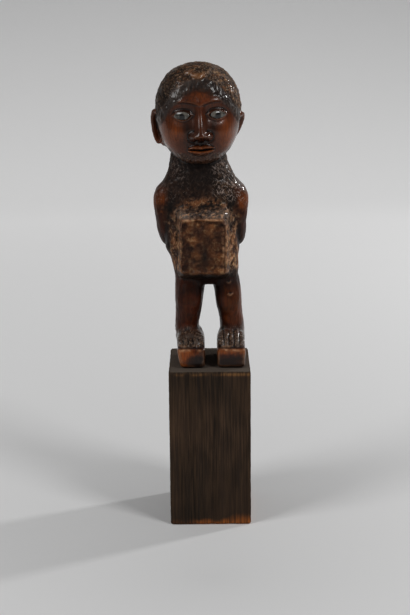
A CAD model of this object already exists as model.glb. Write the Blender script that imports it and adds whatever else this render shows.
# A carved wooden power figure on its block plinth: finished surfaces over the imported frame.
# Shapes are worked in millimetres above the soles of the feet, then set on the plinth in metres.
import math

import bmesh
import bpy
import numpy as np
from mathutils import Matrix, Vector, noise


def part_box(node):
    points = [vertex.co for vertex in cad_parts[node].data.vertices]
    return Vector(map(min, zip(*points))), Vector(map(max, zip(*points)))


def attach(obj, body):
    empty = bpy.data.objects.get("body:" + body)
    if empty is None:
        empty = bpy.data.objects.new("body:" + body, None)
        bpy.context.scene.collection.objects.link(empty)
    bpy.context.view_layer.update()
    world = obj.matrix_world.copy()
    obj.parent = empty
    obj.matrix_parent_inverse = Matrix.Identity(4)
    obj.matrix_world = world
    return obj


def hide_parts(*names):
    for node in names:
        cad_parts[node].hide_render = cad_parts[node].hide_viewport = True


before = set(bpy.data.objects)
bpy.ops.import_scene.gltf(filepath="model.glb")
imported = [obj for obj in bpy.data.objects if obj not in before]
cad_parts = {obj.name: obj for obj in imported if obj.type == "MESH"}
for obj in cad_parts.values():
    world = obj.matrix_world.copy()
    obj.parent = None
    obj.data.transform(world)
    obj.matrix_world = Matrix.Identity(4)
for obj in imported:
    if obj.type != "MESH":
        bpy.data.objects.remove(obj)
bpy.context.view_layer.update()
mm = 0.001
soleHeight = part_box("figure")[0].z / mm
print("frame loaded, soles at", round(soleHeight, 1), "mm")


# Small tools for shaping

def mix(a, b, share):
    return a + (b - a) * share


def soft(low, high, value):
    # 0 below low, 1 above high, smooth between; also for arrays and for high < low
    t = np.clip((value - low) / (high - low), 0.0, 1.0)
    return t * t * (3 - 2 * t)


def hump(distance, width):
    return np.exp(-((distance / width) ** 2))


def curveThrough(rows, share):
    # one smooth curve through every row of numbers, share running from 0 to 1
    last = len(rows) - 1
    place = min(max(share, 0.0), 1.0) * last
    k = min(int(place), last - 1)
    t = place - k
    before = rows[k - 1] if k > 0 else [2 * a - b for a, b in zip(rows[0], rows[1])]
    after = rows[k + 2] if k + 2 <= last else [2 * a - b for a, b in zip(rows[-1], rows[-2])]
    values = []
    for a, b, c, d in zip(before, rows[k], rows[k + 1], after):
        m, n = (c - a) / 2, (d - b) / 2
        values.append((2 * b - 2 * c + m + n) * t**3 + (3 * c - 3 * b - 2 * m - n) * t * t + m * t + b)
    return values


def ballShape(segments, rings, place):
    # a ball whose every point is moved to place(its direction)
    bm = bmesh.new()
    bmesh.ops.create_uvsphere(bm, u_segments=segments, v_segments=rings, radius=1)
    for vert in bm.verts:
        vert.co = place(vert.co.copy())
    return bm


def shareDown(way):
    return math.acos(max(-1.0, min(1.0, way.z))) / math.pi


def sideways(way):
    level = Vector((way.x, way.y))
    return level.normalized() if level.length > 1e-4 else Vector((0, 0))


def levelForm(stations, segments, rings, power=2.2):
    # level sections (z, x, y, half width, half depth) from the top down, with flat ends
    def place(way):
        z, x, y, w, d = curveThrough(stations, (shareDown(way) * rings - 1) / (rings - 2))
        side = sideways(way)
        if side.length == 0:
            return Vector((x, y, z))
        k = (abs(side.x) ** power + abs(side.y) ** power) ** (-1 / power)
        return Vector((x + k * side.x * w, y + k * side.y * d, z))

    return ballShape(segments, rings, place)


def limb(stations, segments, rings, roundEnd=0.12):
    # a round-ended limb through (x, y, z, half size across, half size deep)
    def place(way):
        share = shareDown(way)
        along = (1 - math.cos(share * math.pi)) * 0.1 + share * 0.8
        fromEnd = min(along, 1 - along) / roundEnd
        reach = math.sqrt(1 - (1 - fromEnd) ** 2) if fromEnd < 1 else 1
        x, y, z, w, d = curveThrough(stations, along)
        ahead = Vector(curveThrough(stations, along + 0.01)[:3])
        run = (ahead - Vector(curveThrough(stations, along - 0.01)[:3])).normalized()
        across = run.cross(Vector((0, 1, 0))).normalized()
        side = sideways(way)
        return Vector((x, y, z)) + across * side.x * reach * w + across.cross(run) * side.y * reach * d

    return ballShape(segments, rings, place)


def turned(degrees, axis):
    return Matrix.Rotation(math.radians(degrees), 4, axis)


def moved(bm, matrix):
    bmesh.ops.transform(bm, matrix=matrix, verts=bm.verts)
    return bm


def squareBlock(size, centre):
    bm = bmesh.new()
    bmesh.ops.create_cube(bm, size=1)
    bmesh.ops.scale(bm, vec=size, verts=bm.verts)
    bmesh.ops.translate(bm, vec=centre, verts=bm.verts)
    return bm


def roundEdges(bm, edges, radius, segments):
    bmesh.ops.bevel(
        bm, geom=edges, offset=radius, segments=segments, profile=0.5, affect="EDGES", material=-1
    )


def newPiece(name, mesh):
    piece = bpy.data.objects.new(name, mesh)
    bpy.context.scene.collection.objects.link(piece)
    return piece


def meshFrom(name, bm):
    mesh = bpy.data.meshes.new(name)
    bm.to_mesh(mesh)
    bm.free()
    return mesh


def joinShapes(name, shapes):
    whole = bmesh.new()
    for bm in shapes:
        bmesh.ops.recalc_face_normals(bm, faces=bm.faces)
        part = meshFrom("part", bm)
        whole.from_mesh(part)
        bpy.data.meshes.remove(part)
    return newPiece(name, meshFrom(name, whole))


def fuse(piece, grid):
    # the overlapping shapes become one skin of even small faces
    remesh = piece.modifiers.new("one skin", "REMESH")
    remesh.mode = "VOXEL"
    remesh.voxel_size = grid
    graph = bpy.context.evaluated_depsgraph_get()
    skin = bpy.data.meshes.new_from_object(piece.evaluated_get(graph))
    piece.modifiers.clear()
    piece.data = skin


def relax(bm, verts, rounds, factor=0.5):
    everyWay = dict(use_axis_x=True, use_axis_y=True, use_axis_z=True)
    for _ in range(rounds):
        bmesh.ops.smooth_vert(bm, verts=verts, factor=factor, **everyWay)


def valuesOf(mesh, kind):
    # three numbers for each point: kind is co for its place, normal for its normal
    values = np.empty(len(mesh.vertices) * 3)
    mesh.vertices.foreach_get(kind, values)
    return values.reshape(-1, 3)


def setPlaces(mesh, places):
    mesh.vertices.foreach_set("co", places.ravel())
    mesh.update()


def ridgeOf(mesh, rounds):
    # how far each point stands proud of its surroundings, in millimetres
    pairs = np.empty(len(mesh.edges) * 2, np.int64)
    mesh.edges.foreach_get("vertices", pairs)
    a, b = pairs.reshape(-1, 2).T
    places, normals = valuesOf(mesh, "co"), valuesOf(mesh, "normal")
    count = np.bincount(a, minlength=len(places)) + np.bincount(b, minlength=len(places))
    spread = places.copy()
    for _ in range(rounds):
        total = [
            np.bincount(a, spread[b, k], len(places)) + np.bincount(b, spread[a, k], len(places))
            for k in range(3)
        ]
        spread = np.stack(total, axis=1) / count[:, None]
    return ((places - spread) * normals).sum(axis=1)


def noiseAt(places, scale, seed, detail=2):
    # smooth noise from about -1 to 1, lumps about scale millimetres apart
    shift = Vector((seed * 17.3, seed * 5.1, seed * 9.7))
    return np.array([noise.fractal(Vector(p) / scale + shift, 1.0, 2.0, detail) for p in places])


def cellsAt(places, scale, seed):
    # 0 at the walls between cells, rising to about 0.6 in their middles
    shift = Vector((seed * 3.3, seed * 7.7, seed * 1.9))
    near = np.array([noise.voronoi(Vector(p) / scale + shift)[0][:2] for p in places])
    return near[:, 1] - near[:, 0]


def setMask(mesh, name, values):
    mask = mesh.attributes.new(name, "FLOAT", "POINT")
    mask.data.foreach_set("value", np.clip(values, 0, 1).astype(np.float32))


def smoothShaded(mesh):
    mesh.polygons.foreach_set("use_smooth", [True] * len(mesh.polygons))


# Figure: heights above the soles, as in the frame's solids; left and right are the figure's own.
# Nose and mouth lie a share of the head's height from its middle.

body = dict(
    crown=205, chin=137.5, headFrom=138, neckTop=142, neckFoot=124, shoulder=112, elbow=80.5,
    boxTop=102, boxFoot=65, crotch=55, knee=42, ankle=23, blockTop=13.2, grid=0.85, footX=1.2, trunkX=-4.8,
    leanLow=(35, 92), leanHigh=(120, 142), thighNicks=((13.5, 57.5), (14.5, 49.5)),
)
head = dict(
    x=-6.2, y=-1, halfWidth=28, front=25.5, back=27, jawForward=8, jawNarrow=0.13, square=2.35,
    lean=-1.6, turn=3, hairThick=1.7, hairRise=0.8, hairCell=2.0, nick=0.95,
    hairline=16.0, hairlineFall=0.0325, band=8.5,
    leftEar=dict(tall=11.4, tuck=29, out=24.1, back=-2.6, up=-9.6),
    rightEar=dict(tall=13.6, tuck=9, out=26.3, back=1.0, up=-9.0), earStand=40, bowlDepth=1.3,
)
face = dict(
    eyeOut=11.4, eyeWidth=11, eyeHeight=5.6, eyeSink=2.2, eyeTurn=22, eyeTilt=4, eyeDome=1.5, lid=1.9,
    gazeIn=0.7, gazeDown=0.4, pupilEdge=(2.9, 2.1),
    browLow=5.8, browRise=3.4, browOut=1.7, cheekOut=0.9, nose=-0.24, noseOut=6.4, nostrilOut=3.6,
    mouth=-0.335, lipOut=2.9, lipHalf=9.4, chinOut=2.2,
)
pad = dict(x=0.2, y=-11.4, z=29.6, radius=9.6, thick=1.8, tilt=24, lip=0.1, uneven=0.04, corners=0.22)
bellyBox = dict(
    x=-3.4, width=31, front=-26, back=-9, rim=1.9, recess=1.5, corner=6, lowCorner=3,
    roofSlope=0.72, floorSlope=0.35, flare=0.012, arcHalf=21, arcRise=19, arcFrom=93,
)
foot = dict(
    toe=-24, heel=17, width=19.2, leftX=15, rightX=-12.8, leftDraft=0.04, rightDraft=0.2,
    toes=5, spread=(-6.9, 7.2), toeThick=2.4,
)

headHeight = body["crown"] - body["chin"]
headMiddle = body["chin"] + headHeight / 2
noseHeight, mouthHeight = face["nose"] * headHeight, face["mouth"] * headHeight


def leanAt(z):
    # the figure leans to its right as it rises
    trunk = mix(body["footX"], body["trunkX"], soft(*body["leanLow"], z))
    return trunk + mix(0, head["x"] - body["trunkX"], soft(*body["leanHigh"], z))


def skullPoint(way):
    # full above, narrowing below to a jaw that lies forward
    power = head["square"]
    full = (abs(way.x) ** power + abs(way.y) ** power + abs(way.z) ** power) ** (-1 / power)
    low = way.z * way.z if way.z < 0 else 0
    jaw = 1 - head["jawNarrow"] * low
    depth = head["front"] if way.y < 0 else head["back"]
    rise = headHeight / 2 - (head["hairThick"] if way.z > 0 else 0)
    x = way.x * full * head["halfWidth"] * jaw
    y = way.y * full * depth * jaw - head["jawForward"] * low
    return Vector((x, y, way.z * full * rise))


def headPlace():
    place = Matrix.Translation((head["x"], head["y"], headMiddle))
    return place @ (turned(head["turn"], "Z") @ turned(head["lean"], "Y"))


def within(lay, places):
    # places as measured in the frame that lies at lay
    back = np.array(lay.inverted())
    return places @ back[:3, :3].T + back[:3, 3]


def earLay(side):
    # how tall each ear is, and how it sits against the head
    ear = head["leftEar"] if side > 0 else head["rightEar"]
    at = Matrix.Translation((ear["out"] * side, ear["back"], ear["up"]))
    stand = at @ turned(-side * head["earStand"], "Z")
    return ear["tall"], stand @ turned(side * ear["tuck"], "Y") @ Matrix.Scale(side, 4, (1, 0, 0))


def makeEar(side):
    # a C-shaped rim standing out from the head, with a thin leaf sunk inside it
    tall, lay = earLay(side)
    rim = []
    for k in range(9):
        turn = math.radians(mix(-55, 262, k / 8))
        rim.append((0.9, -4.6 * math.cos(turn) + 0.8, tall * 0.86 * math.sin(turn), 1.4, 1.6))

    def leafPoint(way):
        return Vector((way.x * 0.9 - 1.5, way.y * 4.4 + 1.4, way.z * tall * 0.84))

    def lobePoint(way):
        return Vector((way.x * 1.3, way.y * 2.4 - 1.6, way.z * 2.6 - tall * 0.78))

    shapes = [limb(rim, 12, 40, 0.06), ballShape(20, 14, leafPoint), ballShape(14, 10, lobePoint)]
    return [moved(bm, lay) for bm in shapes]


def earMasks(h):
    # the whole ears, and the bowls inside their rims
    whole, bowls = np.zeros(len(h)), np.zeros(len(h))
    for side in (1, -1):
        tall, lay = earLay(side)
        ex, ey, ez = within(lay, h).T
        outer = np.hypot((ey - 0.8) / 6.4, ez / (tall * 1.04))
        whole = np.maximum(whole, soft(1.08, 0.98, outer) * soft(-3.0, -1.6, ex))
        inner = np.hypot((ey - 0.6) / 2.9, (ez - 0.5) / (tall * 0.6))
        bowls = np.maximum(bowls, soft(1.15, 0.6, inner) * soft(-4.0, -2.4, ex) * (ex < 3.2))
    return whole, bowls


def crownPad():
    # a low disc of resin that follows the crown, its front lip drawn down to a blunt point
    def place(way):
        across = math.hypot(way.x, way.y)
        flat = min(1.0, across * 1.2) / max(across, 1e-6)
        ahead = math.atan2(-way.y, way.x) - math.pi / 2
        lip = pad["lip"] * math.exp(-((ahead / 0.3) ** 2))
        reach = pad["radius"] * (1 + lip + pad["uneven"] * math.cos(ahead * 7))
        if way.y > 0:
            reach *= 1 + pad["corners"] * (2 * way.x * way.y / max(across * across, 1e-6)) ** 2
        x, y = way.x * flat * reach, way.y * flat * reach
        return Vector((x, y, way.z * pad["thick"] - 0.007 * x * x - 0.02 * y * y))

    lay = Matrix.Translation((pad["x"], pad["y"], pad["z"])) @ turned(pad["tilt"], "X")
    return moved(ballShape(48, 12, place), lay)


def makeHead():
    shapes = [ballShape(72, 48, skullPoint), crownPad()] + makeEar(1) + makeEar(-1)
    return [moved(bm, headPlace()) for bm in shapes]


def makeTrunk():
    b = body
    rows = [
        (b["neckTop"] + 8, 17, -9, 18, 0),
        (b["neckTop"], 19, -11, 18, 0),
        (b["neckTop"] - 8, 21, -13, 18, 0),
        (b["neckFoot"] + 2, 25.3, -14, 18.5, 0),
        (b["shoulder"] + 8, 29, -14, 18.5, 0),
        (b["shoulder"], 28.6, -14, 18, 0),
        (b["shoulder"] - 12, 25, -15, 15.5, 0),
        (b["elbow"] + 6, 24.4, -18, 13.5, 0),
        (b["elbow"] - 0.5, 25.3, -18.6, 14.2, 0),
        (b["elbow"] - 6, 23.4, -19, 15, 0.4),
        (b["boxFoot"] + 2, 22.4, -16.5, 18.5, 0.4),
        (b["crotch"] + 4, 22, -12, 17.5, -0.6),
        (b["crotch"] - 0.5, 21.8, -8, 15, -0.8),
    ]
    sections = [(z, leanAt(z) + shift, (f + k) / 2, w, (k - f) / 2) for z, w, f, k, shift in rows]
    return levelForm(sections, 56, 60)


def makeArm(side):
    upper, lower = leanAt(body["shoulder"]), leanAt(body["elbow"])
    shoulder, elbow = body["shoulder"], body["elbow"]
    return limb(
        [
            (upper + side * 18.5, 2, shoulder + 12, 7.6, 8),
            (upper + side * 24.6, 1.5, shoulder + 2, 7.6, 9.4),
            (upper + side * 24.4, 1.5, shoulder - 12, 6.8, 8.6),
            (lower + side * 22.8, 6, elbow + 5.5, 6.2, 7.2),
            (lower + side * 17.5, 14, elbow + 3, 5.4, 5.4),
            (lower + side * 10, 17, elbow + 6, 4.6, 4.2),
            (lower + side * 3.6, 17, elbow + 9, 5, 3.2),
        ],
        32,
        48,
    )


def makeLeg(side):
    ankle, crotch, knee = body["ankle"], body["crotch"], body["knee"]
    rows = [
        (body["boxFoot"] + 6, 1, 17, -8, 14),
        (crotch + 3, 1.8, 22, -11, 17),
        (crotch - 6, 3.6, 22.8, -12.5, 13),
        (knee, 4.6, 23, -13, 10),
        (mix(knee, ankle, 0.5), 6.3, 23.3, -10, 13),
        (ankle + 1, 7.4, 24.0, -8, 13.5),
        (body["blockTop"] - 2, 6, 24, -8, 15.5),
    ]
    sections = []
    for z, inner, outer, front, back in rows:
        near = 0.4 + side * inner
        far = mix(0.5, -0.9, (z - ankle) / (crotch - ankle)) + side * outer
        sections.append((z, (near + far) / 2, (front + back) / 2, abs(far - near) / 2, (back - front) / 2))
    return levelForm(sections, 32, 36)


def makeSeat(side):
    middle = leanAt(body["crotch"] + 6) + side * 9.4

    def place(way):
        return Vector((middle + way.x * 11.5, 12.4 + way.y * 8.3, body["crotch"] + 7 + way.z * 11.5))

    return ballShape(24, 18, place)


def makeBellyBox():
    # a block with rounded upper corners, its front inset and sunk, widening towards the body
    box = bellyBox
    deep = box["back"] - box["front"]
    bm = squareBlock((box["width"], deep, body["boxTop"] - body["boxFoot"]), (0, 0, 0))
    for high, radius in ((True, box["corner"]), (False, box["lowCorner"])):
        corners = []
        for e in bm.edges:
            a, b = e.verts[0].co, e.verts[1].co
            if abs(a.y - b.y) > 1 and (a.z > 0) == high:
                corners.append(e)
        roundEdges(bm, corners, radius, 5)
    front = [f for f in bm.faces if f.normal.y < -0.9]
    bmesh.ops.inset_region(bm, faces=front, thickness=box["rim"], depth=0)
    bmesh.ops.translate(bm, vec=(0, box["recess"], 0), verts=front[0].verts)
    middle = (body["boxTop"] + body["boxFoot"]) / 2
    half = body["boxTop"] - middle
    bmesh.ops.translate(bm, vec=(0, (box["front"] + box["back"]) / 2, 0), verts=bm.verts)
    for vert in bm.verts:
        behind = max(0.0, vert.co.y - box["front"] - box["recess"])
        upwards = vert.co.z / half
        slope = box["roofSlope"] if upwards > 0 else box["floorSlope"]
        vert.co.x = box["x"] + vert.co.x * (1 + box["flare"] * behind)
        vert.co.z = middle + vert.co.z + slope * behind * upwards
    return bm


def makeFoot(side):
    # a block under a squared-off instep, with five long toes over its front
    x, draft = (foot["leftX"], foot["leftDraft"]) if side > 0 else (foot["rightX"], foot["rightDraft"])
    top, toe, heel = body["blockTop"], foot["toe"], foot["heel"]
    block = squareBlock((foot["width"], heel - toe, top), (x, (toe + heel) / 2, top / 2))
    for vert in block.verts:
        if (vert.co.x - x) * side > 0:
            vert.co.x -= side * draft * (top - vert.co.z)
    roundEdges(block, block.edges[:], 1.3, 3)

    length = heel - toe - 1
    middle = heel - length / 2

    def instepPoint(way):
        full = (abs(way.x) ** 4 + abs(way.y) ** 4 + abs(way.z) ** 4) ** -0.25
        y = middle + way.y * full * length / 2
        high = mix(top + 3.6, body["ankle"], soft(-23, -5, y))
        rise = high - top if way.z > 0 else 1.5
        narrow = (1 - 0.1 * soft(-4, heel, y)) * (1 - 0.22 * max(0, way.z) ** 2)
        return Vector((x + way.x * full * narrow * foot["width"] / 2, y, top + way.z * full * rise))

    shapes = [block, ballShape(32, 24, instepPoint)]
    thick, instep = foot["toeThick"], 20 if side > 0 else 18.8
    for k in range(foot["toes"]):
        share = k / (foot["toes"] - 1)
        across = x + side * mix(*foot["spread"], share)
        tip = toe + 1 + 2.4 * share * share
        half = mix(2.4, 1.9, share)
        run = [(-5, instep), (-13, 17.3), (tip + 1.8, top + 1.7)]
        shapes.append(limb([(across, y, z, half, thick) for y, z in run], 14, 16, 0.16))
    return shapes


def onHead(places):
    # places in the head's own frame: across, forward and up from its middle
    return within(headPlace(), places)


def hairMask(h):
    # the hair cap, and how far each point lies inside the bare face
    x, y, z = h.T
    insideFace = np.minimum(head["hairline"] - head["hairlineFall"] * x * x - z, (-5 - y) * 1.2)
    napeRise = 3.5 * soft(6, -5, y)
    nape = np.where(y > -5, soft(-25.5 + napeRise, -21.5 + napeRise, z), 1)
    return soft(1.5, -1.5, insideFace) * nape * (z > -28), insideFace


def almondEdge(h, side):
    # distance outside the eye's almond opening, negative inside; the upper lid comes down over the glass
    across = (h[:, 0] * side - face["eyeOut"]) / math.cos(math.radians(face["eyeTurn"]))
    reach = np.clip(1 - (across / (face["eyeWidth"] / 2 + 0.3)) ** 2, 0, 1)
    beyond = np.clip(np.abs(across) - face["eyeWidth"] / 2, 0, 9)
    z = h[:, 2]
    above = z - (face["eyeHeight"] / 2 + 0.25 - face["lid"]) * reach
    below = -z - (face["eyeHeight"] / 2 - 0.5) * reach
    return np.maximum(above, below) + beyond


def faceRelief(h):
    # how far the carved face stands out (+) or is cut in (-), for points on the front of the head
    x, y, z = h.T
    ax = np.abs(x)
    front = soft(-4, -12, y) * soft(-36, -31, z)
    nose, mouth = noseHeight, mouthHeight
    relief = -face["eyeSink"] * hump(ax - 10.4, 8.0) * hump(z + 0.2, 5.4)
    relief += face["cheekOut"] * hump(ax - 16, 7) * hump(z + 12, 8)
    arch = np.sin(math.pi * np.clip(mix(0.1, 0.93, (ax - 1.2) / 20), 0, 1))
    browAt = face["browLow"] + face["browRise"] * arch
    browEnds = soft(22.5, 18, ax) * mix(0.75, 1, soft(0, 3, ax))
    above = z - browAt
    relief += face["browOut"] * browEnds * np.where(above > 0, hump(above, 3.0), hump(above, 0.9))
    for side in (1, -1):
        edge = almondEdge(h, side)
        here = hump(x * side - face["eyeOut"], 9) * (x * side > 1)
        lidOut = np.where(z > 0, 1.9, 1.2)
        relief += lidOut * hump(edge - 0.9, np.where(z > 0, 1.1, 0.8)) * here
        relief -= 1.6 * soft(0.3, -0.35, edge) * (x * side > 1)
        relief -= 0.6 * hump(edge - 3.1, 0.6) * here * (z > 0)
    down = np.clip((6.5 - z) / (6.5 - nose - 2.6), 0, 1)
    ridge = mix(1.2, face["noseOut"], down**1.25) * soft(nose - 2.0, nose + 2.4, z) * soft(9, 5.5, z)
    ridge *= 1 - 0.16 * hump(z - nose, 1.5)
    relief += ridge * np.exp(-(ax / mix(2.2, 4.1, down)) ** 2.6)
    relief += face["nostrilOut"] * hump(ax - 4.9, 2.3) * hump(z - nose - 2.2, 2.3)
    relief -= 0.9 * hump(np.hypot(ax - 4.9, z - nose - 2.2) - 3.7, 0.8) * (ax > 4)
    relief -= 1.6 * hump(ax - 2.9, 1.2) * hump(z - nose + 0.2, 0.9)
    relief -= 0.5 * hump(ax, 1.0) * soft(nose, nose - 1.5, z) * soft(mouth + 2.6, mouth + 4, z)
    span = np.clip(1 - (x / face["lipHalf"]) ** 2, 0, 1)
    seam = mouth - 0.5 * hump(ax, 3.5)
    upper = (z - seam) / (3.8 * span**0.7 - 0.6 * hump(ax, 1.3) + 0.05)
    lower = (seam - z) / (4.0 * span**0.6 + 0.05)
    lips = 0
    for lip, inside in ((upper, (upper > 0) & (upper < 1)), (lower, (lower >= 0) & (lower < 1))):
        lips = lips + np.where(inside, np.sin(math.pi * np.clip(lip, 0, 1) ** 0.8) ** 0.8, 0)
    relief += face["lipOut"] * lips * soft(0, 0.35, span)
    relief -= 1.5 * hump(z - seam, 0.6) * soft(face["lipHalf"] + 0.6, face["lipHalf"] - 1.5, ax)
    relief -= 0.9 * hump(x, 6) * hump(z - mouth + 5.6, 1.6)
    relief += face["chinOut"] * hump(x, 7) * hump(z + 30, 3.6)
    return relief * front


def refineSkin(mesh):
    # the fused skin is smoothed, and the face, ears and feet get smaller faces
    bm = bmesh.new()
    bm.from_mesh(mesh)
    relax(bm, bm.verts, 3)
    merging = []
    for v in bm.verts:
        side = abs(v.co.x - leanAt(v.co.z))
        underArm = 76 < v.co.z < 112 and 15 < side < 25 and v.co.y < 6
        hips = body["crotch"] - 6 < v.co.z < body["boxFoot"] + (9 if v.co.y > 6 else 1)
        aboveBox = 101.5 < v.co.z < 118 and side < 22 and -24 < v.co.y < -8
        if underArm or hips or aboveBox:
            merging.append(v)
    relax(bm, merging, 10)
    toHead = headPlace().inverted()
    fine = []
    for f in bm.faces:
        c = f.calc_center_median()
        h = toHead @ c
        onFace = h.y < -9 and abs(h.x) < 21 and -31 < h.z < 12
        onEar = abs(h.x) > 25.0 and abs(h.z + 8.5) < 12.5 and -8 < h.y < 6
        onToes = c.y < -4 and body["blockTop"] - 1 < c.z < body["ankle"] + 1
        if onFace or onToes or onEar:
            fine.append(f)
    edges = list({e for f in fine for e in f.edges})
    bmesh.ops.subdivide_edges(bm, edges=edges, cuts=1, use_grid_fill=True, smooth=0)
    relax(bm, bm.verts, 1, 0.3)
    bmesh.ops.recalc_face_normals(bm, faces=bm.faces)
    bm.to_mesh(mesh)
    bm.free()


def hairRelief(places, h, hair, band):
    # a low cap of irregular nicks, smoother in the blackened band over the forehead
    lumps, uneven = noiseAt(places, 1.7, 2), noiseAt(places, 6, 12)
    bent = places + np.stack([noiseAt(places, 4, 20 + k) for k in range(3)], axis=1) * 1.6
    tufts = mix(cellsAt(bent, head["hairCell"], 1), cellsAt(bent, head["hairCell"] * 1.8, 2), 0.4)
    nicks = head["nick"] * (np.minimum(tufts, 0.4) - 0.25) * np.clip(0.9 + 1.2 * uneven, 0.2, 2)
    nicks = nicks + 0.3 * lumps
    cap = hair * (head["hairRise"] + (1 - 0.4 * band) * nicks + 0.3 * uneven)
    return cap + band * 0.45 * noiseAt(h * [1, 0.5, 0.32], 1.5, 13)


def feetRelief(places, middle, small):
    # grooves between the toes, and rough crust over the insteps
    x, y, z = places.T
    relief = np.zeros(len(places))
    for side, footX in ((1, foot["leftX"]), (-1, foot["rightX"])):
        for k in range(foot["toes"] - 1):
            at = footX + side * mix(*foot["spread"], (k + 0.5) / (foot["toes"] - 1))
            reach = soft(24, 21, z) if side > 0 else soft(20.5, 17, z + 1.5 * middle)
            relief -= 0.8 * hump(x - at - 0.5 * middle, 0.5) * (y < -3) * soft(13.8, 15, z) * reach
    insteps = soft(14, 15.5, z) * soft(27, 22, z) * (y < 14)
    return relief + insteps * (0.3 * small + 0.25 * noiseAt(places, 2.6, 33))


def handRelief(places, aside):
    # shallow grooves between the fingers, on the small of the back
    handLine = places[:, 2] - (body["elbow"] + 9 - 0.47 * (aside - 3.6))
    onHand = soft(11, 8.5, aside) * soft(2.5, 4.2, aside) * (places[:, 1] > 12) * (np.abs(handLine) < 5)
    return -0.7 * onHand * sum(hump(handLine - k, 0.75) for k in (-2.3, -0.1, 2.1))


def carveFigure(piece):
    # every point of the skin is moved by hand-like cuts; where they lie goes on to the finish
    mesh = piece.data
    refineSkin(mesh)
    places, normals = valuesOf(mesh, "co"), valuesOf(mesh, "normal")
    h = onHead(places)
    isHead = places[:, 2] > body["headFrom"]
    ears, bowls = earMasks(h)
    ears, bowls = ears * isHead, bowls * isHead
    hair, insideFace = hairMask(h + noiseAt(h, 5, 14)[:, None] * [0, 0, 1.1])
    hair = hair * isHead * (1 - ears)
    band = hair * soft(-head["band"], -head["band"] + 2.5, insideFace) * (h[:, 1] < -4)

    # Face, along the view of someone standing before it
    forward = -np.array(headPlace().to_3x3().col[1])
    places = places + (faceRelief(h) * isHead * (1 - hair))[:, None] * forward

    # Cut facets everywhere, tool marks on the limbs, thick crust on neck, chest and flanks
    x, y, z = places.T
    across = x - leanAt(z)
    aside = np.abs(across)
    broad = noiseAt(places, 15, 3)
    middle = noiseAt(places, 5, 4)
    small = noiseAt(places, 1.8, 5, 3)
    bareHead = isHead & (hair < 0.5)
    relief = hairRelief(places, h, hair, band) + 0.35 * broad * (1 - 0.6 * bareHead)
    relief += 0.22 * middle * (1 - 0.8 * bareHead)
    legs = soft(24, 28, z) * soft(66, 60, z)
    arms = soft(20, 23, aside) * soft(70, 76, z) * soft(112, 106, z)
    relief += 0.28 * np.maximum(legs, arms) * noiseAt(places * [1, 1, 0.22], 3.0, 40)
    neck = soft(116, 126, z + 4 * middle - 5 * soft(15, 24, aside)) * (~isHead | (hair < 0.5)) * (z < 146)
    onChest = (y < -4) & (z > 60) & (z < 132)
    rough = np.maximum(neck * soft(152, 142, z), onChest * soft(25, 20, aside))
    relief += rough * (0.3 * small + 0.28 * middle)

    # The box: rough, worn front within its rim, and an arc of worn wood above it
    box = bellyBox
    boxX = (x - box["x"]) / (box["width"] / 2)
    inBox = (y < box["front"] + 5) * soft(0.95, 0.85, np.abs(boxX)) * (z < body["boxTop"] - 1)
    inBox = inBox * (z > body["boxFoot"] - 2)
    relief += inBox * (0.5 * middle + 0.3 * small - 0.15)
    arcAt = np.hypot((x - box["x"]) / box["arcHalf"], (z - box["arcFrom"]) / box["arcRise"])
    arc = onChest * hump(arcAt - 1, 0.2) * soft(95, 99, z)
    relief += 0.3 * arc * (1 + middle)
    relief += 0.35 * onChest * soft(101, 103, z) * soft(113, 107, z) * noiseAt(places, 2.2, 15)

    # Two old nicks on the left thigh
    nickLips = np.zeros(len(places))
    for nickX, nickZ in body["thighNicks"]:
        away = np.hypot(x - nickX, z - nickZ)
        nickLips += (y < 0) * hump(away - 1.3, 0.5) * (z < nickZ)
        relief -= 0.45 * (y < 0) * hump(away, 0.9)
    relief += 0.3 * nickLips - head["bowlDepth"] * bowls
    relief += feetRelief(places, middle, small) + handRelief(places, aside)

    # The box's rim is worn down along its foot and its right side
    onRim = (y < box["front"] + 1.6) * (z < 99) * (z > 60) * (1 - inBox)
    wornRim = onRim * np.clip(soft(73, 66, z) + soft(-13, -17, x), 0, 1) * np.clip(0.6 + middle, 0, 1)
    places[:, 1] += 0.8 * wornRim
    setPlaces(mesh, places + relief[:, None] * normals)

    bm = bmesh.new()
    bm.from_mesh(mesh)
    relax(bm, bm.verts, 1, 0.25)
    bm.to_mesh(mesh)
    bm.free()
    return dict(
        hair=hair, band=band, rough=rough, inBox=inBox, arc=arc, isHead=isHead, h=h, across=across,
        broad=broad, middle=middle, small=small, ears=ears, bowls=bowls, nickLips=nickLips,
    )


# The finish by hand: pairs are for the figure's left side and its right side
wear = dict(
    flankEnd=(24.4, 22.2), flankFlecks=(1.0, 0.7), cleftHalf=(2.0, 2.5),
    armAmber=(0.85, 0.75), armSoot=(0.45, 0.62), armShine=(0.65, 0.4),
    stainX=(15.0, -7.5), stainHalf=(12.0, 8.6), boxBare=0.88, boxHeart=0.85,
    hairRub=0.75, bandSoot=0.75, bandSheen=0.95, shelfSheen=0.85, neckCalm=0.6,
)


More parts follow.
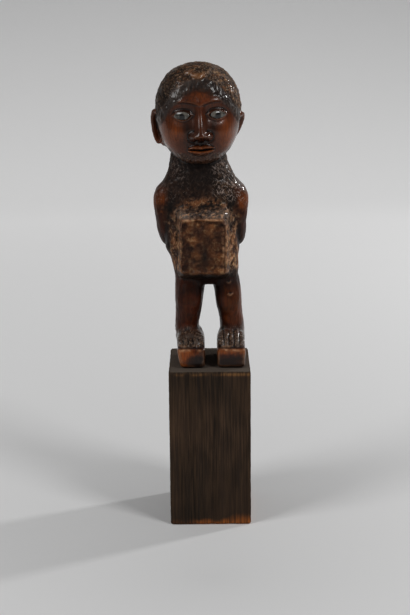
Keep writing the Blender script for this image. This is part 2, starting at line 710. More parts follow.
def paintFigure(mesh, cut):
    # masks for the finish: crusted, worn bare, warm, sooty, polished, proud, hollow and resin
    places = valuesOf(mesh, "co")
    x, y, z = places.T
    h, across = cut["h"], cut["across"]
    hx, hy, hz = h.T
    aside, faceSide = np.abs(across), np.abs(hx)
    hair, band, isHead, inBox = cut["hair"], cut["band"], cut["isHead"], cut["inBox"]
    broad, middle, small = cut["broad"], cut["middle"], cut["small"]
    boxTop, blockTop, toe, boxFront = body["boxTop"], body["blockTop"], foot["toe"], bellyBox["front"]
    mask = lambda values: np.clip(values, 0, 1)
    sides = lambda left, right: np.where(x > 0, left, right)
    largest = lambda *masks: np.maximum.reduce(masks)

    collar = soft(-13, -10, hy) * np.maximum(hy > 0, soft(13, 15, faceSide))
    collar = collar * isHead * soft(151, 147, z + 2 * middle) * (1 - hair)
    skin = isHead * (1 - hair) * (1 - collar)
    proud, wide = ridgeOf(mesh, 3), ridgeOf(mesh, 24)
    nose, mouth = noseHeight, mouthHeight

    # Crust: hair, neck and chest, the tops of the feet
    feetTop = soft(blockTop + 0.5, blockTop + 2, z) * soft(27, 20, z + 3 * middle)
    feetTop = feetTop * mix(0.35, 1, soft(8, -8, y + 5 * middle))
    neck = soft(111, 120, z + 5 * middle - 8 * soft(16, 24, aside)) * (1 - isHead) + collar
    chest = (y < -2) * (1 - isHead) * soft(99, 106, z + 3 * middle) * soft(27, 19, aside + 3 * middle)
    crust = largest(hair * (1 - 0.9 * band), neck, 0.9 * feetTop, chest, 0.6 * cut["rough"])

    # The sooty shelf over the box's lip
    boxSide = np.abs(x - bellyBox["x"])
    shelf = (z > boxTop + 0.3) * soft(boxTop + 8, boxTop + 4, z + 2 * middle) * (y < -8)
    shelf = shelf * soft(22, 15, boxSide) * mask(0.8 + 0.7 * middle)

    # Worn wood: the flanks of the box, an arc above it, patches on its front
    flankEnd = sides(*wear["flankEnd"])
    flank = soft(62, 70, z) * soft(102, 95, z) * soft(13.5, 16.5, boxSide)
    flank = flank * (y < 3) * soft(1, -1.5, aside - flankEnd)
    arc = cut["arc"] * soft(-0.9, 0.5, middle + 0.6 * small) * (1 - 0.7 * shelf)
    patch = noiseAt(places, 4.4, 31, 1)
    onFront = inBox * np.clip(0.55 + 1.1 * patch + 0.4 * middle, 0.03, 1)
    onFront *= 1 - 0.55 * hump((x - 7) / 4.5, 1) * hump((z - 90) / 6, 1)
    onFront *= 1 - 0.75 * hump(x + 2.5, 2.6) * hump(z - 80, 13)
    onFront *= 1 - 0.5 * soft(-2, -12, x) * soft(90, 78, z)
    rim = (y < boxFront + 4) * (1 - inBox) * soft(101, 99, z) * soft(66, 76, z) * mask(0.4 + 0.8 * middle)
    lip = hump(z - boxTop + 0.5, 1.3) * (y < boxFront + 4) * soft(17, 13, boxSide)
    topEdge = hump(z - blockTop + 0.9, 0.8) * (y < toe + 2.5) * mask(0.6 + 0.9 * middle)
    topEdge = np.maximum(topEdge, 0.2 * soft(0.45, 0.9, wide) * (z < blockTop - 1))
    rubbedHair = hair * (1 - band) * np.maximum(soft(2, 14, hx), 0.75 * soft(10, 22, hz))
    rubbedHair = wear["hairRub"] * rubbedHair * soft(-0.1, 0.5, small + 0.5 * middle)
    wornFlank = flank * soft(-0.7, 0.3, patch + middle)
    bare = largest(wear["boxBare"] * onFront, wornFlank, arc, 0.5 * rim, lip, rubbedHair, 0.7 * topEdge)

    # Broken pale lines along the edges, and flecks on the flanks
    lipLine = hump(z - boxTop + 0.3, 0.8) * (y < boxFront + 4) * soft(16, 13, boxSide)
    rimLine = hump(x - bellyBox["x"] - 13.2, 0.7) * soft(98, 95, z) * soft(66, 70, z) * (y < boxFront + 2.5)
    ledgeLine = hump(z - blockTop - 1.4, 0.6) * (y < -10)
    shelfFleck = 0.9 * shelf * soft(0.15, 0.6, small)
    flankFleck = flank * sides(*wear["flankFlecks"]) * soft(0.0, 0.6, patch + small)
    edge = largest(
        topEdge, 1.2 * lipLine, 0.7 * rimLine, 0.6 * ledgeLine, 0.4 * cut["nickLips"],
        shelfFleck, flankFleck,
    )
    edge = edge * mask(0.5 + 1.2 * middle + 0.6 * small)

    # Warm polished wood: cheeks, lips, tops of the arms, fronts of the blocks
    cheeks = skin * hump(faceSide - 18, 8) * hump(hz + 12, 13) * mask(0.62 + 0.35 * broad)
    lips = skin * hump(hz - mouth, 3.8) * soft(11, 8, faceSide) * soft(0.0, 0.25, wide)
    brow = skin * hump(hx, 9) * hump(hz - 12, 4) * 0.5
    shoulders = soft(19, 25, aside + 2 * middle) * hump(z - 113 + 2 * broad + 3 * middle, 6)
    shoulders = shoulders * (1 - isHead) * (0.7 + 0.5 * middle)
    blocks = soft(blockTop + 0.4, blockTop - 0.8, z)
    lit = sides(soft(7.5, 11.5, z), soft(-7, -17, x - 0.6 * (z - 8)))
    blockFront = blocks * (y < toe + 3) * mask(0.08 + 1.0 * lit + 0.45 * middle)
    blockSides = 0.6 * blocks * (y >= toe + 3) * mask(0.6 + middle + 0.5 * broad)
    blockEdge = 0.7 * blocks * soft(0.02, 0.3, wide) * sides(soft(8, 11, z), soft(-8, -16, x))
    shin = 0.3 * soft(8, 12, x) * soft(58, 50, z) * soft(24, 30, z)
    warmEars = 0.4 * cut["ears"] * (1 - cut["bowls"])
    warm = largest(
        cheeks, 0.7 * lips, brow, 0.2 * skin, warmEars, shin, sides(*wear["armAmber"]) * shoulders,
        blockFront, blockSides, blockEdge,
    )

    # Soot and old handling dirt in every hollow
    forearm = soft(20, 23, aside) * soft(106, 99, z) * soft(74, 80, z) * (0.8 + 0.5 * middle)
    armPit = hump(aside - 20.5, 3.4) * soft(90, 99, z) * soft(122, 110, z) * (y < 4)
    cleft = hump(aside - flankEnd - 1.2, sides(*wear["cleftHalf"]))
    cleft = cleft * soft(74, 82, z) * soft(104, 96, z) * (y < 6)
    under = soft(67, 63, z) * soft(50, 61, z - 0.3 * aside) * (z > 30)
    innerLegs = soft(10, 5.5, np.abs(x - 0.8)) * soft(20, 26, z) * soft(66, 58, z)
    thighs = 0.5 * soft(46, 57, z + 3 * middle) * soft(68, 62, z) * (y < 6)
    mottled = 0.3 * soft(-0.1, 0.5, middle + 0.4 * broad) * soft(22, 27, z) * soft(66, 60, z)
    throat = soft(118, 128, z) * soft(20, 8, aside) * (y < 2) * (1 - isHead)
    chin = isHead * (hy < 0) * soft(-29, -34, hz) * 0.5
    nostrils = hump(faceSide - 8.5, 3.5) * hump(hz + 8, 6)
    aroundNose = skin * (nostrils + hump(hx, 9) * hump(hz - nose + 2.4, 2.0))
    sockets = skin * hump(faceSide - 10, 8.5) * hump(hz - 2.6, 3.0)
    hollows = 0.9 * soft(-0.1, -0.5, wide) * (1 - 0.6 * inBox)
    soot = largest(
        wear["bandSoot"] * band, armPit, cleft, sides(*wear["armSoot"]) * forearm, 0.95 * under,
        0.5 * innerLegs, 0.8 * throat, chin, 0.9 * aroundNose, 0.85 * sockets, hollows,
        cut["bowls"], 0.3 * cut["ears"], 0.55 * neck * soft(0.3, -0.3, middle), thighs, mottled,
        0.6 * hair * soft(-8, -18, hx),
    )
    heart = wear["boxHeart"] * inBox * hump(x + 2.5, 2.8) * hump(z - 79, 11) * (0.9 + 0.6 * middle)
    stain = hump((x - sides(*wear["stainX"])) / sides(*wear["stainHalf"]), 1) * hump(z - 3.4, 5.2)
    stain = blocks * (y < toe + 4) * stain
    stain = 0.95 * soft(0.1, 0.6, stain + 0.22 * middle + 0.22 * small) * (stain > 0.02)
    ledge = hump(z - blockTop - 0.8, 1.2) * (y < -12)
    soot = largest(soot * (1 - 0.85 * arc), stain, ledge, heart)

    # Polish: the band, the shoulders' tops, the shelf, the sockets and the feet catch the light
    upward = soft(0.2, 0.6, valuesOf(mesh, "normal")[:, 2])
    top = upward * soft(9, 15, aside) * hump(z - 119, 9) * (1 - isHead)
    glints = hair * soft(0.0, 0.5, middle) * 0.6
    polish = largest(
        0.6 * band, sides(*wear["armShine"]) * top, shelf, sockets, feetTop, 0.6 * blocks, 0.75 * skin,
        0.5 * arc, glints,
    )

    # The crown's resin, light scratches, grey sheen on the shelf, and quiet parts of the crust
    centre = np.hypot(hx - pad["x"], (hy - pad["y"]) / math.cos(math.radians(pad["tilt"]))) / pad["radius"]
    resin = isHead * (hz > 18) * (hy < -14) * soft(0.76, 0.96, centre) * soft(1.1, 1.02, centre)
    resin *= soft(6.5, 2.5, np.abs(hx - pad["x"])) * mask(0.65 + 0.8 * middle)
    scratch = soft(112.5, 118, z + 0.25 * (aside - 10)) * (1 - hair) * (1 - skin) * soft(5, 13, aside)
    scratch = scratch * (y < 12) * (0.28 + 0.65 * soft(0, 6, x)) + 0.06 * np.maximum(neck, chest)
    scratch = largest(scratch, 0.9 * shelf, 0.5 * arc, 0.4 * flank, 0.15 * onFront)
    scratch = np.maximum(scratch, 0.3 * hair * (1 - band) * soft(-12, 16, hx)) * mask(0.8 + 0.6 * broad)
    feetSheen = feetTop * mask(0.1 + 0.7 * middle)
    slate = largest(wear["shelfSheen"] * shelf, feetSheen, wear["bandSheen"] * band)
    calm = np.maximum(neck, chest * soft(16, 24, z - 82)) * (1 - wear["neckCalm"] * soft(6, 14, across))
    calm = np.maximum(calm, 0.6 * inBox)
    panel = (y < boxFront + 6) * soft(18, 16, boxSide) * soft(62, 64, z) * soft(103, 101, z)
    hollow = soft(-0.02, -0.2, proud) * (1 - 0.75 * np.maximum(panel, flank))
    proud = soft(0.02 + 0.03 * hair, 0.22 + 0.06 * hair, proud) * (1 - 0.5 * inBox)
    masks = dict(
        crust=crust, bare=bare, warm=warm, soot=soot, polish=polish, proud=proud, hollow=hollow,
        resin=resin, slate=slate, calm=calm, scratch=scratch, edge=edge,
    )
    for name, values in masks.items():
        setMask(mesh, name, values)


def makeFigure():
    shapes = makeHead() + [makeTrunk(), makeBellyBox()]
    for side in (1, -1):
        shapes += [makeArm(side), makeLeg(side), makeSeat(side)] + makeFoot(side)
    piece = joinShapes("carved_figure", shapes)
    fuse(piece, body["grid"])
    print("figure fused:", len(piece.data.polygons), "faces")
    cut = carveFigure(piece)
    paintFigure(piece.data, cut)
    piece.data.transform(Matrix.Scale(mm, 4) @ Matrix.Translation((0, 0, soleHeight)))
    smoothShaded(piece.data)
    print("figure carved:", len(piece.data.vertices), "points")
    return piece


# Eyes: domed almonds of glass in the sockets

def makeEye(side, node):
    low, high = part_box(node)
    centre = (low + high) / 2

    def place(way):
        across = way.x * face["eyeWidth"] / 2
        tall = face["eyeHeight"] / 2 * max(0.0, 1 - abs(way.x) ** 2.2) ** 0.62
        flat = math.hypot(way.y, way.z) or 1
        dome = face["eyeDome"] * math.sqrt(max(0, 1 - way.x**2))
        return Vector((across, way.y / flat * dome, way.z / flat * tall))

    bm = moved(ballShape(40, 28, lambda way: way), turned(90, "Y"))
    for vert in bm.verts:
        vert.co = place(vert.co.copy())
    turn = turned(side * face["eyeTurn"], "Z") @ turned(face["eyeTilt"], "X")
    moved(bm, Matrix.Translation(centre) @ headPlace().to_3x3().to_4x4() @ turn @ Matrix.Scale(mm, 4))
    bmesh.ops.recalc_face_normals(bm, faces=bm.faces)
    mesh = meshFrom(node, bm)
    smoothShaded(mesh)
    return newPiece(node.replace("inlay", "glass"), mesh), centre


# Plinth: a squared block of softwood with rubbed edges

plinth = dict(
    grid=0.9, edge=1.5, ring=2.1, ringDepth=0.07, wave=0.12, chips=0.25,
    footLow=4.6, footRise=4.5, ticksUnder=2.2, fadedAt=0.6, fadedHalf=34,
)


def makePlinth():
    low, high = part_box("plinth")
    size, centre = (high - low) / mm, (high + low) / 2 / mm
    bm = squareBlock(size, centre)
    roundEdges(bm, bm.edges[:], plinth["edge"], 4)
    piece = joinShapes("block_plinth", [bm])
    fuse(piece, plinth["grid"])
    mesh = piece.data
    places, normals = valuesOf(mesh, "co"), valuesOf(mesh, "normal")
    x, y, z = places.T
    rings = (x * 0.9 + y * 0.3 + 1.2 * noiseAt(places * [1, 1, 0.12], 12, 7)) * 2 * math.pi / plinth["ring"]
    relief = plinth["ringDepth"] * (np.sin(rings) - 1) + plinth["wave"] * (noiseAt(places, 14, 8) - 0.8)
    relief *= soft(0.2, 3, z)
    near = np.sort(np.array(size / 2) - np.abs(places - np.array(centre)), axis=1)
    rub = soft(4.5, 0.4, near[:, 1])
    relief -= rub * plinth["chips"] * soft(-0.2, 0.7, noiseAt(places, 5, 9))
    setPlaces(mesh, places + relief[:, None] * normals)
    setMask(mesh, "rub", rub)
    setMask(mesh, "top", soft(0.8, 0.98, normals[:, 2]))

    # Bare wood: a worn foot that rises towards the figure's left, and short ticks along the upper arris
    patchy = noiseAt(places, 7, 11)
    bareFoot = soft(plinth["footLow"] + plinth["footRise"] * soft(2, 26, x), 0.6, z + 2.0 * patchy)
    setMask(mesh, "foot", bareFoot * mix(0.15, 1, soft(-16, -6, x + 4 * patchy)))
    ticks = hump(z - size.z + plinth["ticksUnder"], 0.9)
    setMask(mesh, "ticks", ticks * np.clip(0.2 + 0.9 * patchy + 0.6 * soft(0, 20, x), 0, 1))
    # Faded wood halfway up, drawn out along the grain
    upright = noiseAt(places * np.array([1, 1, 0.2]), 4.5, 12)
    faded = hump(z - plinth["fadedAt"] * size.z, plinth["fadedHalf"])
    setMask(mesh, "faded", faded * np.clip(0.55 + 0.7 * upright, 0, 1))
    piece.data.transform(Matrix.Scale(mm, 4))
    smoothShaded(mesh)
    return piece


# Shared effects, as node groups with named sockets

def newGroup(name, numbers, results):
    # a group that takes a Vector and some numbers, and gives masks
    group = bpy.data.node_groups.new(name, "ShaderNodeTree")
    group.interface.new_socket("Vector", in_out="INPUT", socket_type="NodeSocketVector")
    for label, value in numbers.items():
        socket = group.interface.new_socket(label, in_out="INPUT", socket_type="NodeSocketFloat")
        socket.default_value = value
    for label in results:
        group.interface.new_socket(label, in_out="OUTPUT", socket_type="NodeSocketFloat")
    given, out = group.nodes.new("NodeGroupInput"), group.nodes.new("NodeGroupOutput")
    return group, given.outputs, out.inputs


def feed(tree, socket, value):
    # another node's socket is linked, a plain value is set
    if isinstance(value, bpy.types.NodeSocket):
        tree.links.new(value, socket)
    else:
        socket.default_value = value


def addNode(tree, kind, settings=(), **inputs):
    # inputs go by name, or by number as i0, i1 and on
    node = tree.nodes.new(kind)
    for name, value in dict(settings).items():
        setattr(node, name, value)
    for name, value in inputs.items():
        numbered = name[0] == "i" and name[1:].isdigit()
        feed(tree, node.inputs[int(name[1:])] if numbered else node.inputs[name], value)
    return node


def rampOf(tree, value, low, high):
    node = addNode(tree, "ShaderNodeMapRange", {"interpolation_type": "SMOOTHSTEP"}, Value=value)
    node.inputs["From Min"].default_value = low
    node.inputs["From Max"].default_value = high
    return node.outputs["Result"]


def mathTools(tree):
    # times, plus, minus, largest and smallest of two values
    def tool(operation):
        node = {"operation": operation}
        return lambda a, b: addNode(tree, "ShaderNodeMath", node, i0=a, i1=b).outputs[0]

    return [tool(operation) for operation in ("MULTIPLY", "ADD", "SUBTRACT", "MAXIMUM", "MINIMUM")]


def blendOf(tree, share, a, b):
    return addNode(tree, "ShaderNodeMix", {"data_type": "RGBA"}, i0=share, i6=a, i7=b).outputs[2]


def noiseNode(tree, vector, scale, detail, bend=0.0):
    node = addNode(tree, "ShaderNodeTexNoise", Vector=vector, Scale=scale, Detail=detail, Distortion=bend)
    return node.outputs["Fac"]


def stretched(tree, vector, factors):
    node = addNode(tree, "ShaderNodeVectorMath", {"operation": "MULTIPLY"}, i0=vector, i1=factors)
    return node.outputs[0]


def streakGroup():
    # grain: fine streaks, and broad ones among them, drawn out along one axis
    group, given, out = newGroup("wood streaks", dict(Scale=900.0, Long=0.05), ("Mask", "Broad"))
    times = mathTools(group)[0]
    along = addNode(group, "ShaderNodeCombineXYZ", i0=1.0, i1=1.0, i2=given["Long"])
    drawn = stretched(group, given["Vector"], along.outputs[0])
    broadScale = times(given["Scale"], 0.16)
    for label, scale, detail in (("Mask", given["Scale"], 4.0), ("Broad", broadScale, 3.0)):
        feed(group, out[label], rampOf(group, noiseNode(group, drawn, scale, detail), 0.36, 0.66))
    return group


def mottleGroup():
    # patches, and small specks inside them
    names = ("Patches", "Specks", "Height")
    group, given, out = newGroup("patina mottle", dict(Patch=90.0, Speck=700.0), names)
    times, plus = mathTools(group)[:2]
    patch = noiseNode(group, given["Vector"], given["Patch"], 2.5)
    speck = noiseNode(group, given["Vector"], given["Speck"], 3.0)
    cells = addNode(group, "ShaderNodeTexVoronoi", Vector=given["Vector"], Scale=given["Speck"])
    feed(group, out["Patches"], rampOf(group, patch, 0.36, 0.64))
    feed(group, out["Specks"], rampOf(group, speck, 0.52, 0.66))
    feed(group, out["Height"], plus(speck, times(cells.outputs["Distance"], 0.6)))
    return group


def scratchGroup():
    # short bent strokes in two slanting directions
    group, given, out = newGroup("fine scratches", dict(Scale=600.0), ("Mask",))
    sets = []
    for slant in (0.9, -0.6):
        settings = {"rotation_type": "Y_AXIS"}
        slanted = addNode(group, "ShaderNodeVectorRotate", settings, Vector=given["Vector"], Angle=slant)
        short = stretched(group, slanted.outputs[0], (1, 1, 0.3))
        sets.append(rampOf(group, noiseNode(group, short, given["Scale"], 3.0, 0.7), 0.565, 0.665))
    largest = mathTools(group)[3]
    feed(group, out["Mask"], largest(*sets))
    return group


streaks = streakGroup()
mottle = mottleGroup()
scratches = scratchGroup()


def newMaterial(name):
    material = bpy.data.materials.new(name)
    material.use_nodes = True
    tree = material.node_tree
    return material, tree, tree.nodes["Principled BSDF"]


def setShader(tree, shader, values):
    for name, value in values.items():
        feed(tree, shader.inputs[name], value)


def placeGroup(tree, group, **inputs):
    return addNode(tree, "ShaderNodeGroup", {"node_tree": group}, **inputs).outputs


def bumpOf(tree, height, strength, distance):
    node = addNode(tree, "ShaderNodeBump", Height=height, Strength=strength, Distance=distance)
    return node.outputs["Normal"]


def maskNode(tree, name):
    return addNode(tree, "ShaderNodeAttribute", {"attribute_name": name}).outputs["Fac"]


def tone(text):
    # a colour written as on screen, turned to linear light
    parts = [int(text[k : k + 2], 16) / 255 for k in (0, 2, 4)]
    return (*[p / 12.92 if p <= 0.04045 else ((p + 0.055) / 1.055) ** 2.4 for p in parts], 1.0)


woodTones = dict(
    deep="35180f", red="5e2d18", amber="ad5c1f", crust="38271c", pit="15100c", speck="b0967e",
    worn="8e5d38", pale="c9a67c", soot="150e0b", resin="7d5029", slate="6f665f", scratch="a08f86",
    boxWood="4a2816", neck="2b1b15", edge="c99c79",
)
plinthTones = dict(
    dark="28231f", mid="3b332e", brown="4e3e33", faded="5b493c", streak="68533f", tick="a0764c",
    bare="aa6836", top="6a6159",
)
glassTones = dict(white="3f3b36", clouded="716d66", pupil="191817")
woodFinish = dict(gloss=0.36, dulled=0.26, specular=0.22, coat=0.8, coatRoughness=0.13, bump=0.0008)


def figureMaterial():
    material, tree, shader = newMaterial("handled hardwood")
    times, plus, minus, largest, _ = mathTools(tree)
    here = addNode(tree, "ShaderNodeTexCoord").outputs["Object"]
    grain = placeGroup(tree, streaks, Vector=here, Scale=1100.0, Long=0.12)
    fine = placeGroup(tree, mottle, Vector=here, Patch=110.0, Speck=900.0)
    large = placeGroup(tree, mottle, Vector=here, Patch=45.0, Speck=420.0)
    strokes = placeGroup(tree, scratches, Vector=here, Scale=900.0)["Mask"]
    t = {name: tone(value) for name, value in woodTones.items()}
    names = ("crust", "bare", "warm", "soot", "polish", "proud", "hollow", "resin", "slate", "calm")
    crust, bare, warm, soot, polish, proud, hollow, resin, slate, calm = (maskNode(tree, n) for n in names)

    # Polished wood, red where thin and amber where rubbed
    colour = blendOf(tree, large["Patches"], t["deep"], t["red"])
    colour = blendOf(tree, times(warm, plus(times(fine["Patches"], 0.5), 0.5)), colour, t["amber"])
    colour = blendOf(tree, times(fine["Patches"], 0.3), colour, t["deep"])
    colour = blendOf(tree, times(grain["Mask"], 0.42), colour, t["soot"])
    # Crust with pits and worn specks
    crusted = blendOf(tree, large["Specks"], t["crust"], t["pit"])
    lively = minus(1.0, times(calm, 0.8))
    speckle = times(times(fine["Specks"], plus(times(proud, 0.6), 0.38)), lively)
    crusted = blendOf(tree, speckle, crusted, t["speck"])
    crusted = blendOf(tree, times(calm, 0.8), crusted, t["neck"])
    colour = blendOf(tree, crust, colour, crusted)
    # Bare worn wood, resin, grey sheen and soot
    rubbed = plus(times(fine["Patches"], 0.55), times(large["Patches"], 0.35))
    rubbed = blendOf(tree, rubbed, t["boxWood"], t["worn"])
    rubbed = blendOf(tree, times(times(large["Specks"], 0.8), lively), rubbed, t["pale"])
    colour = blendOf(tree, bare, colour, rubbed)
    colour = blendOf(tree, resin, colour, t["resin"])
    colour = blendOf(tree, times(slate, plus(times(large["Patches"], 0.75), 0.2)), colour, t["slate"])
    colour = blendOf(tree, times(soot, 0.88), colour, t["soot"])
    # Scratches, raised points rubbed paler, hollows darker, worn edges palest
    marked = blendOf(tree, bare, t["scratch"], t["pale"])
    colour = blendOf(tree, times(strokes, maskNode(tree, "scratch")), colour, marked)
    raised = times(times(proud, minus(0.5, times(soot, 0.4))), lively)
    paler = blendOf(tree, times(crust, 0.6), t["worn"], t["speck"])
    colour = blendOf(tree, times(raised, plus(times(crust, 0.4), 0.5)), colour, paler)
    colour = blendOf(tree, times(hollow, 0.8), colour, t["soot"])
    colour = blendOf(tree, times(maskNode(tree, "edge"), 0.85), colour, t["edge"])

    dull = times(largest(times(crust, 0.8), times(bare, 0.9)), minus(1.0, times(polish, 0.7)))
    satin = minus(woodFinish["gloss"], times(polish, 0.12))
    lift = times(fine["Height"], plus(times(largest(crust, bare), lively), 0.1))
    lift = plus(lift, times(large["Height"], plus(times(crust, 0.6), times(times(crust, polish), 0.8))))
    lift = plus(lift, times(times(polish, plus(soot, slate)), times(large["Height"], 0.7)))
    lift = plus(lift, times(grain["Mask"], 0.1))
    rough = plus(times(dull, woodFinish["dulled"]), satin)
    setShader(tree, shader, {
        "Base Color": colour,
        "Roughness": plus(rough, times(fine["Patches"], 0.12)),
        "Specular IOR Level": woodFinish["specular"],
        "Coat Weight": plus(times(polish, woodFinish["coat"]), 0.08),
        "Coat Roughness": woodFinish["coatRoughness"],
        "Normal": bumpOf(tree, lift, 0.7, woodFinish["bump"]),
    })
    return material


def plinthMaterial():
    material, tree, shader = newMaterial("blackened softwood")
    times, plus = mathTools(tree)[:2]
    here = addNode(tree, "ShaderNodeTexCoord").outputs["Object"]
    grain = placeGroup(tree, streaks, Vector=here, Scale=950.0, Long=0.035)
    spots = placeGroup(tree, mottle, Vector=here, Patch=26.0, Speck=900.0)
    t = {name: tone(value) for name, value in plinthTones.items()}
    rub, low, ticks, faded, top = (maskNode(tree, n) for n in ("rub", "foot", "ticks", "faded", "top"))
    halfGrain = plus(times(grain["Mask"], 0.65), 0.35)
    colour = blendOf(tree, times(grain["Broad"], 0.6), t["dark"], t["mid"])
    for share, name in (
        (times(spots["Patches"], 0.5), "brown"),
        (times(times(faded, 0.9), halfGrain), "faded"),
        (times(grain["Mask"], 0.24), "streak"),
        (times(times(rub, 0.15), grain["Mask"]), "streak"),
        (times(times(ticks, 0.75), halfGrain), "tick"),
        (times(low, halfGrain), "bare"),
        (times(top, 0.9), "top"),
    ):
        colour = blendOf(tree, share, colour, t[name])
    setShader(tree, shader, {
        "Base Color": colour,
        "Roughness": plus(plus(times(spots["Patches"], 0.15), 0.45), times(top, 0.4)),
        "Specular IOR Level": 0.08,
        "Normal": bumpOf(tree, plus(grain["Mask"], times(spots["Height"], 0.3)), 0.5, 0.0003),
    })
    return material


def glassMaterial(centre, side):
    material, tree, shader = newMaterial("eye glass " + ("left" if side > 0 else "right"))
    here = addNode(tree, "ShaderNodeTexCoord").outputs["Object"]
    gaze = centre + Vector((-side * face["gazeIn"], 0, -face["gazeDown"])) * mm
    away = addNode(tree, "ShaderNodeVectorMath", {"operation": "DISTANCE"}, i0=here, i1=tuple(gaze))
    outer, inner = face["pupilEdge"]
    pupil = rampOf(tree, away.outputs["Value"], outer * mm, inner * mm)
    spots = placeGroup(tree, mottle, Vector=here, Patch=300.0, Speck=1500.0)
    t = {name: tone(value) for name, value in glassTones.items()}
    colour = blendOf(tree, pupil, blendOf(tree, spots["Patches"], t["white"], t["clouded"]), t["pupil"])
    finish = {"Base Color": colour, "Roughness": 0.12, "Coat Weight": 0.6, "Coat Roughness": 0.06}
    setShader(tree, shader, finish)
    return material


# Assembly

figure = makeFigure()
figure.data.materials.append(figureMaterial())
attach(figure, "root")
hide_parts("figure")

for side, node in ((1, "left_eye_inlay"), (-1, "right_eye_inlay")):
    eye, centre = makeEye(side, node)
    eye.data.materials.append(glassMaterial(centre, side))
    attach(eye, "root")
    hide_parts(node)
print("eyes set")

block = makePlinth()
block.data.materials.append(plinthMaterial())
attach(block, "root")
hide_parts("plinth")
print("plinth finished")


# Studio: a pale sweep, two soft lamps in front and a small one behind, named as the camera sees them

studio = dict(
    halfWidth=4.5, front=-4.5, bendAt=1.5, bend=1.1, height=3.2, glow=0.328, reach=1.46, fall=0.75,
    paper=0.72, air=0.43, dim=0.13,
)
lamps = {
    "left front lamp": dict(
        direction=(-0.83, -0.55), elevation=38, distance=1.5, size=(0.55, 0.75), power=6.4,
    ),
    "right front lamp": dict(
        direction=(0.72, -0.69), elevation=38, distance=1.5, size=(0.4, 0.6), power=6.4,
    ),
    "right back lamp": dict(
        direction=(0.885, 0.466), elevation=27, distance=1.7, size=(0.14, 0.14), power=7,
    ),
}


def makeSweep():
    corners = [(x, studio["front"], 0) for x in (-studio["halfWidth"], studio["halfWidth"])]
    kindOf = lambda items, kind: [item for item in items if isinstance(item, kind)]
    bm = bmesh.new()
    edge = bm.edges.new([bm.verts.new(corner) for corner in corners])
    run = bmesh.ops.extrude_edge_only(bm, edges=[edge])["geom"]
    back = kindOf(run, bmesh.types.BMVert)
    bmesh.ops.translate(bm, vec=(0, studio["bendAt"] - studio["front"], 0), verts=back)
    bent = bmesh.ops.spin(
        bm, geom=back + kindOf(run, bmesh.types.BMEdge), cent=(0, studio["bendAt"], studio["bend"]),
        axis=(1, 0, 0), angle=math.pi / 2, steps=24, use_merge=False,
    )["geom_last"]
    up = bmesh.ops.extrude_edge_only(bm, edges=kindOf(bent, bmesh.types.BMEdge))["geom"]
    bmesh.ops.translate(bm, vec=(0, 0, studio["height"]), verts=kindOf(up, bmesh.types.BMVert))
    bmesh.ops.recalc_face_normals(bm, faces=bm.faces)
    mesh = meshFrom("sweep", bm)
    smoothShaded(mesh)
    mesh.materials.append(sweepMaterial())
    newPiece("sweep", mesh)


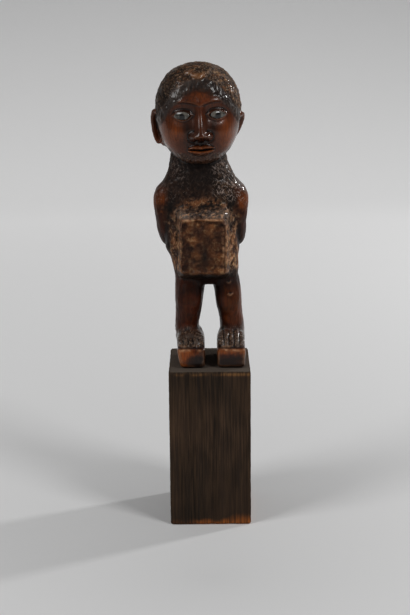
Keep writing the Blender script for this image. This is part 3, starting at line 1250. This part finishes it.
def sweepMaterial():
    # pale paper, with a glow that makes up for the light a large studio would give
    material, tree, shader = newMaterial("pale paper")
    times, plus, minus, largest, smallest = mathTools(tree)
    here = addNode(tree, "ShaderNodeTexCoord").outputs["Object"]
    away = addNode(tree, "ShaderNodeVectorMath", {"operation": "DISTANCE"}, i0=here, i1=(0, -0.12, 0))
    rays = addNode(tree, "ShaderNodeLightPath").outputs
    axes = addNode(tree, "ShaderNodeSeparateXYZ", i0=here).outputs
    seen = plus(rays["Is Camera Ray"], times(rays["Is Glossy Ray"], rampOf(tree, axes["Y"], -0.1, 0.4)))
    outward = smallest(times(away.outputs["Value"], 1 / studio["reach"]), 1.0)
    outward = addNode(tree, "ShaderNodeMath", {"operation": "POWER"}, i0=outward, i1=studio["fall"])
    glow = times(outward.outputs[0], largest(minus(1.0, axes["Z"]), 0.5))
    setShader(tree, shader, {
        "Emission Color": (1, 1, 1, 1),
        "Emission Strength": times(times(glow, studio["glow"]), seen),
        "Base Color": (studio["paper"], studio["paper"], studio["paper"], 1),
        "Roughness": 0.9,
        "Specular IOR Level": 0.1,
    })
    return material


def addLamp(name, direction, elevation, distance, size, power):
    # a square soft lamp that looks at the figure's middle
    middle = Vector((0, 0, 0.17))
    level = Vector((direction[0], direction[1], 0)).normalized()
    way = level * math.cos(math.radians(elevation)) + Vector((0, 0, math.sin(math.radians(elevation))))
    lamp = bpy.data.lights.new(name, "AREA")
    lamp.shape = "RECTANGLE"
    lamp.size, lamp.size_y = size
    lamp.energy = power
    holder = bpy.data.objects.new(name, lamp)
    holder.location = middle + way * distance
    holder.rotation_euler = (-way).to_track_quat("-Z", "Y").to_euler()
    bpy.context.scene.collection.objects.link(holder)


def makeRoom():
    # dim all round, and pale where the camera looks past the paper
    world = bpy.data.worlds.new("room")
    world.use_nodes = True
    tree = world.node_tree
    seen = tree.nodes.new("ShaderNodeLightPath").outputs["Is Camera Ray"]
    strength = rampOf(tree, seen, 0.0, 1.0)
    strength.node.inputs["To Min"].default_value = studio["dim"]
    strength.node.inputs["To Max"].default_value = studio["air"]
    tree.nodes["Background"].inputs["Color"].default_value = (1, 1, 1, 1)
    tree.links.new(strength, tree.nodes["Background"].inputs["Strength"])
    bpy.context.scene.world = world
    bpy.context.scene.view_settings.view_transform = "Standard"
    bpy.context.scene.view_settings.look = "Medium High Contrast"


makeSweep()
makeRoom()
for name, values in lamps.items():
    addLamp(name, **values)


# Camera: where the photograph's was, worked out from the plinth's corners
lens = dict(place=(-0.002775, -0.89943, 0.35108), down=12.78, roll=-0.506, focal=77.86, height=36)


def addCamera():
    camera = bpy.data.cameras.new("camera")
    camera.sensor_fit = "VERTICAL"
    camera.sensor_height = lens["height"]
    camera.lens = lens["focal"]
    camera.clip_start = 0.02
    holder = bpy.data.objects.new("camera", camera)
    aim = turned(90 - lens["down"], "X") @ turned(lens["roll"], "Z")
    holder.matrix_world = Matrix.Translation(lens["place"]) @ aim
    bpy.context.scene.collection.objects.link(holder)
    bpy.context.scene.camera = holder


addCamera()
print("scene ready")
